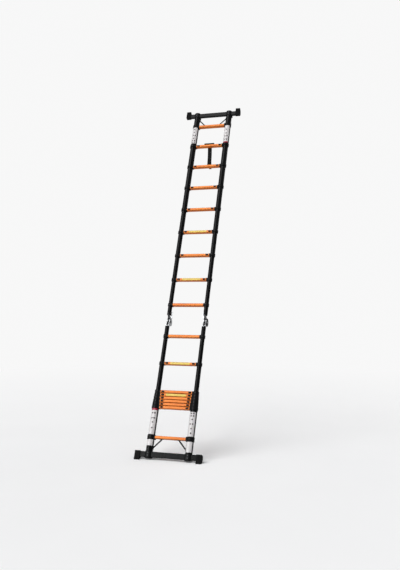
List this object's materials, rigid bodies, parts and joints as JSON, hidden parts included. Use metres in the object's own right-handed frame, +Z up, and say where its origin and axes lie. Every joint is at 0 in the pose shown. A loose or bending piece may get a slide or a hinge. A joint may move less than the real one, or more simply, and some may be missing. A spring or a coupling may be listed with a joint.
{
  "type": "folding telescopic ladder",
  "caption": "Leaning ladder of two telescopic halves joined by locking fold hinges, with orange rungs, release buttons, wide stabiliser bars and rubber feet.",
  "frame": {"origin": "on the floor, midway between the feet, where the plane of the lower rails meets the floor", "axes": "+X along the rungs to the right, +Y towards the wall it leans on, +Z up"},
  "size_m": [0.683, 1.8239, 3.8901],
  "materials": {
    "black_aluminium": "satin black anodised tube",
    "orange_aluminium": "orange anodised, brushed along its length",
    "black_plastic": "moulded nylon, fine grain",
    "black_rubber": "matt ribbed rubber",
    "hinge_steel": "zinc plated, brushed",
    "webbing": "woven black polyester webbing",
    "white_label": "satin vinyl",
    "red_label": "satin vinyl",
    "yellow_label": "satin vinyl",
    "dark_print": "printed dots"
  },
  "bodies": {
    "lower_stage_1": {"lower_stage_1_rails": "black_aluminium", "lower_rung_2": "orange_aluminium", "lower_rung_1": "orange_aluminium", "lower_stabiliser_bar": "black_aluminium", "lower_rubber_feet": "black_rubber", "lower_foot_shoes": "black_plastic", "lower_braces": "black_aluminium"},
    "lower_stage_2": {"lower_stage_2_rails": "black_aluminium", "lower_rung_3": "orange_aluminium"},
    "lower_stage_3": {"lower_stage_3_rails": "black_aluminium", "lower_rung_4": "orange_aluminium"},
    "lower_stage_4": {"lower_stage_4_rails": "black_aluminium", "lower_rung_5": "orange_aluminium"},
    "lower_stage_5": {"lower_stage_5_rails": "black_aluminium", "lower_rung_6": "orange_aluminium"},
    "lower_stage_6": {"lower_stage_6_rails": "black_aluminium", "lower_rung_7": "orange_aluminium"},
    "lower_stage_7": {"lower_stage_7_rails": "black_aluminium", "lower_rung_8": "orange_aluminium"},
    "lower_stage_8": {"lower_stage_8_rails": "black_aluminium", "lower_rung_9": "orange_aluminium", "lower_hinge_leaves": "hinge_steel"},
    "lower_latch_2": {"lower_rung_2_buttons": "black_plastic"},
    "lower_latch_3": {"lower_rung_3_buttons": "black_plastic"},
    "lower_latch_4": {"lower_rung_4_buttons": "black_plastic"},
    "lower_latch_5": {"lower_rung_5_buttons": "black_plastic"},
    "lower_latch_6": {"lower_rung_6_buttons": "black_plastic"},
    "lower_latch_7": {"lower_rung_7_buttons": "black_plastic"},
    "lower_latch_8": {"lower_rung_8_buttons": "black_plastic"},
    "upper_stage_1": {"upper_stage_1_rails": "black_aluminium", "upper_rung_2": "orange_aluminium", "upper_rung_1": "orange_aluminium", "upper_stabiliser_bar": "black_aluminium", "upper_rubber_feet": "black_rubber", "upper_foot_shoes": "black_plastic", "upper_braces": "black_aluminium", "carry_strap": "webbing"},
    "upper_stage_2": {"upper_stage_2_rails": "black_aluminium", "upper_rung_3": "orange_aluminium"},
    "upper_stage_3": {"upper_stage_3_rails": "black_aluminium", "upper_rung_4": "orange_aluminium"},
    "upper_stage_4": {"upper_stage_4_rails": "black_aluminium", "upper_rung_5": "orange_aluminium"},
    "upper_stage_5": {"upper_stage_5_rails": "black_aluminium", "upper_rung_6": "orange_aluminium"},
    "upper_stage_6": {"upper_stage_6_rails": "black_aluminium", "upper_rung_7": "orange_aluminium"},
    "upper_stage_7": {"upper_stage_7_rails": "black_aluminium", "upper_rung_8": "orange_aluminium"},
    "upper_stage_8": {"upper_stage_8_rails": "black_aluminium", "upper_rung_9": "orange_aluminium", "upper_hinge_leaves": "hinge_steel"},
    "upper_latch_2": {"upper_rung_2_buttons": "black_plastic"},
    "upper_latch_3": {"upper_rung_3_buttons": "black_plastic"},
    "upper_latch_4": {"upper_rung_4_buttons": "black_plastic"},
    "upper_latch_5": {"upper_rung_5_buttons": "black_plastic"},
    "upper_latch_6": {"upper_rung_6_buttons": "black_plastic"},
    "upper_latch_7": {"upper_rung_7_buttons": "black_plastic"},
    "upper_latch_8": {"upper_rung_8_buttons": "black_plastic"},
    "hinge_release": {"hinge_release_levers": "hinge_steel"}
  },
  "joints": [
    {"name": "lower_slide_2", "type": "slide", "parent": "lower_stage_1", "child": "lower_stage_2", "axis": [0, 0.4163, 0.9092], "range_m": [0, 0.268]},
    {"name": "lower_slide_3", "type": "slide", "parent": "lower_stage_2", "child": "lower_stage_3", "axis": [0, 0.4163, 0.9092], "range_m": [0, 0.268]},
    {"name": "lower_slide_4", "type": "slide", "parent": "lower_stage_3", "child": "lower_stage_4", "axis": [0, 0.4163, 0.9092], "range_m": [0, 0.268]},
    {"name": "lower_slide_5", "type": "slide", "parent": "lower_stage_4", "child": "lower_stage_5", "axis": [0, 0.4163, 0.9092], "range_m": [0, 0.268]},
    {"name": "lower_slide_6", "type": "slide", "parent": "lower_stage_5", "child": "lower_stage_6", "axis": [0, 0.4163, 0.9092], "range_m": [0, 0.268]},
    {"name": "lower_slide_7", "type": "slide", "parent": "lower_stage_6", "child": "lower_stage_7", "axis": [0, 0.4163, 0.9092], "range_m": [-0.268, 0]},
    {"name": "lower_slide_8", "type": "slide", "parent": "lower_stage_7", "child": "lower_stage_8", "axis": [0, 0.4163, 0.9092], "range_m": [-0.268, 0]},
    {"name": "ladder_fold", "type": "hinge", "parent": "lower_stage_8", "child": "upper_stage_8", "pos_m": [0, 0.64751, 1.30379], "axis": [-1, 0, 0], "range_deg": [0, 180], "deforming": ["carry_strap"]},
    {"name": "upper_slide_7", "type": "slide", "parent": "upper_stage_8", "child": "upper_stage_7", "axis": [0, 0.4163, 0.9092], "range_m": [-0.268, 0]},
    {"name": "upper_slide_6", "type": "slide", "parent": "upper_stage_7", "child": "upper_stage_6", "axis": [0, 0.4163, 0.9092], "range_m": [-0.268, 0]},
    {"name": "upper_slide_5", "type": "slide", "parent": "upper_stage_6", "child": "upper_stage_5", "axis": [0, 0.4163, 0.9092], "range_m": [-0.268, 0]},
    {"name": "upper_slide_4", "type": "slide", "parent": "upper_stage_5", "child": "upper_stage_4", "axis": [0, 0.4163, 0.9092], "range_m": [-0.268, 0]},
    {"name": "upper_slide_3", "type": "slide", "parent": "upper_stage_4", "child": "upper_stage_3", "axis": [0, 0.4163, 0.9092], "range_m": [-0.268, 0]},
    {"name": "upper_slide_2", "type": "slide", "parent": "upper_stage_3", "child": "upper_stage_2", "axis": [0, 0.4163, 0.9092], "range_m": [-0.268, 0]},
    {"name": "upper_slide_1", "type": "slide", "parent": "upper_stage_2", "child": "upper_stage_1", "axis": [0, 0.4163, 0.9092], "range_m": [-0.268, 0]},
    {"name": "lower_latch_2_press", "type": "slide", "parent": "lower_stage_1", "child": "lower_latch_2", "axis": [0, 0.9092, -0.4163], "range_m": [0, 0.004], "stiffness_N_per_m": 1200, "springref_m": -0.002},
    {"name": "lower_latch_3_press", "type": "slide", "parent": "lower_stage_2", "child": "lower_latch_3", "axis": [0, 0.9092, -0.4163], "range_m": [0, 0.004], "stiffness_N_per_m": 1200, "springref_m": -0.002},
    {"name": "lower_latch_4_press", "type": "slide", "parent": "lower_stage_3", "child": "lower_latch_4", "axis": [0, 0.9092, -0.4163], "range_m": [0, 0.004], "stiffness_N_per_m": 1200, "springref_m": -0.002},
    {"name": "lower_latch_5_press", "type": "slide", "parent": "lower_stage_4", "child": "lower_latch_5", "axis": [0, 0.9092, -0.4163], "range_m": [0, 0.004], "stiffness_N_per_m": 1200, "springref_m": -0.002},
    {"name": "lower_latch_6_press", "type": "slide", "parent": "lower_stage_5", "child": "lower_latch_6", "axis": [0, 0.9092, -0.4163], "range_m": [0, 0.004], "stiffness_N_per_m": 1200, "springref_m": -0.002},
    {"name": "lower_latch_7_press", "type": "slide", "parent": "lower_stage_6", "child": "lower_latch_7", "axis": [0, 0.9092, -0.4163], "range_m": [0, 0.004], "stiffness_N_per_m": 1200, "springref_m": -0.002},
    {"name": "lower_latch_8_press", "type": "slide", "parent": "lower_stage_7", "child": "lower_latch_8", "axis": [0, 0.9092, -0.4163], "range_m": [0, 0.004], "stiffness_N_per_m": 1200, "springref_m": -0.002},
    {"name": "upper_latch_2_press", "type": "slide", "parent": "upper_stage_1", "child": "upper_latch_2", "axis": [0, 0.9092, -0.4163], "range_m": [0, 0.004], "stiffness_N_per_m": 1200, "springref_m": -0.002},
    {"name": "upper_latch_3_press", "type": "slide", "parent": "upper_stage_2", "child": "upper_latch_3", "axis": [0, 0.9092, -0.4163], "range_m": [0, 0.004], "stiffness_N_per_m": 1200, "springref_m": -0.002},
    {"name": "upper_latch_4_press", "type": "slide", "parent": "upper_stage_3", "child": "upper_latch_4", "axis": [0, 0.9092, -0.4163], "range_m": [0, 0.004], "stiffness_N_per_m": 1200, "springref_m": -0.002},
    {"name": "upper_latch_5_press", "type": "slide", "parent": "upper_stage_4", "child": "upper_latch_5", "axis": [0, 0.9092, -0.4163], "range_m": [0, 0.004], "stiffness_N_per_m": 1200, "springref_m": -0.002},
    {"name": "upper_latch_6_press", "type": "slide", "parent": "upper_stage_5", "child": "upper_latch_6", "axis": [0, 0.9092, -0.4163], "range_m": [0, 0.004], "stiffness_N_per_m": 1200, "springref_m": -0.002},
    {"name": "upper_latch_7_press", "type": "slide", "parent": "upper_stage_6", "child": "upper_latch_7", "axis": [0, 0.9092, -0.4163], "range_m": [0, 0.004], "stiffness_N_per_m": 1200, "springref_m": -0.002},
    {"name": "upper_latch_8_press", "type": "slide", "parent": "upper_stage_7", "child": "upper_latch_8", "axis": [0, 0.9092, -0.4163], "range_m": [0, 0.004], "stiffness_N_per_m": 1200, "springref_m": -0.002},
    {"name": "hinge_release_pull", "type": "hinge", "parent": "upper_stage_8", "child": "hinge_release", "pos_m": [0, 0.64751, 1.30379], "axis": [-1, 0, 0], "range_deg": [0, 15], "stiffness_Nm_per_rad": 2, "springref_deg": -11.46}
  ]
}
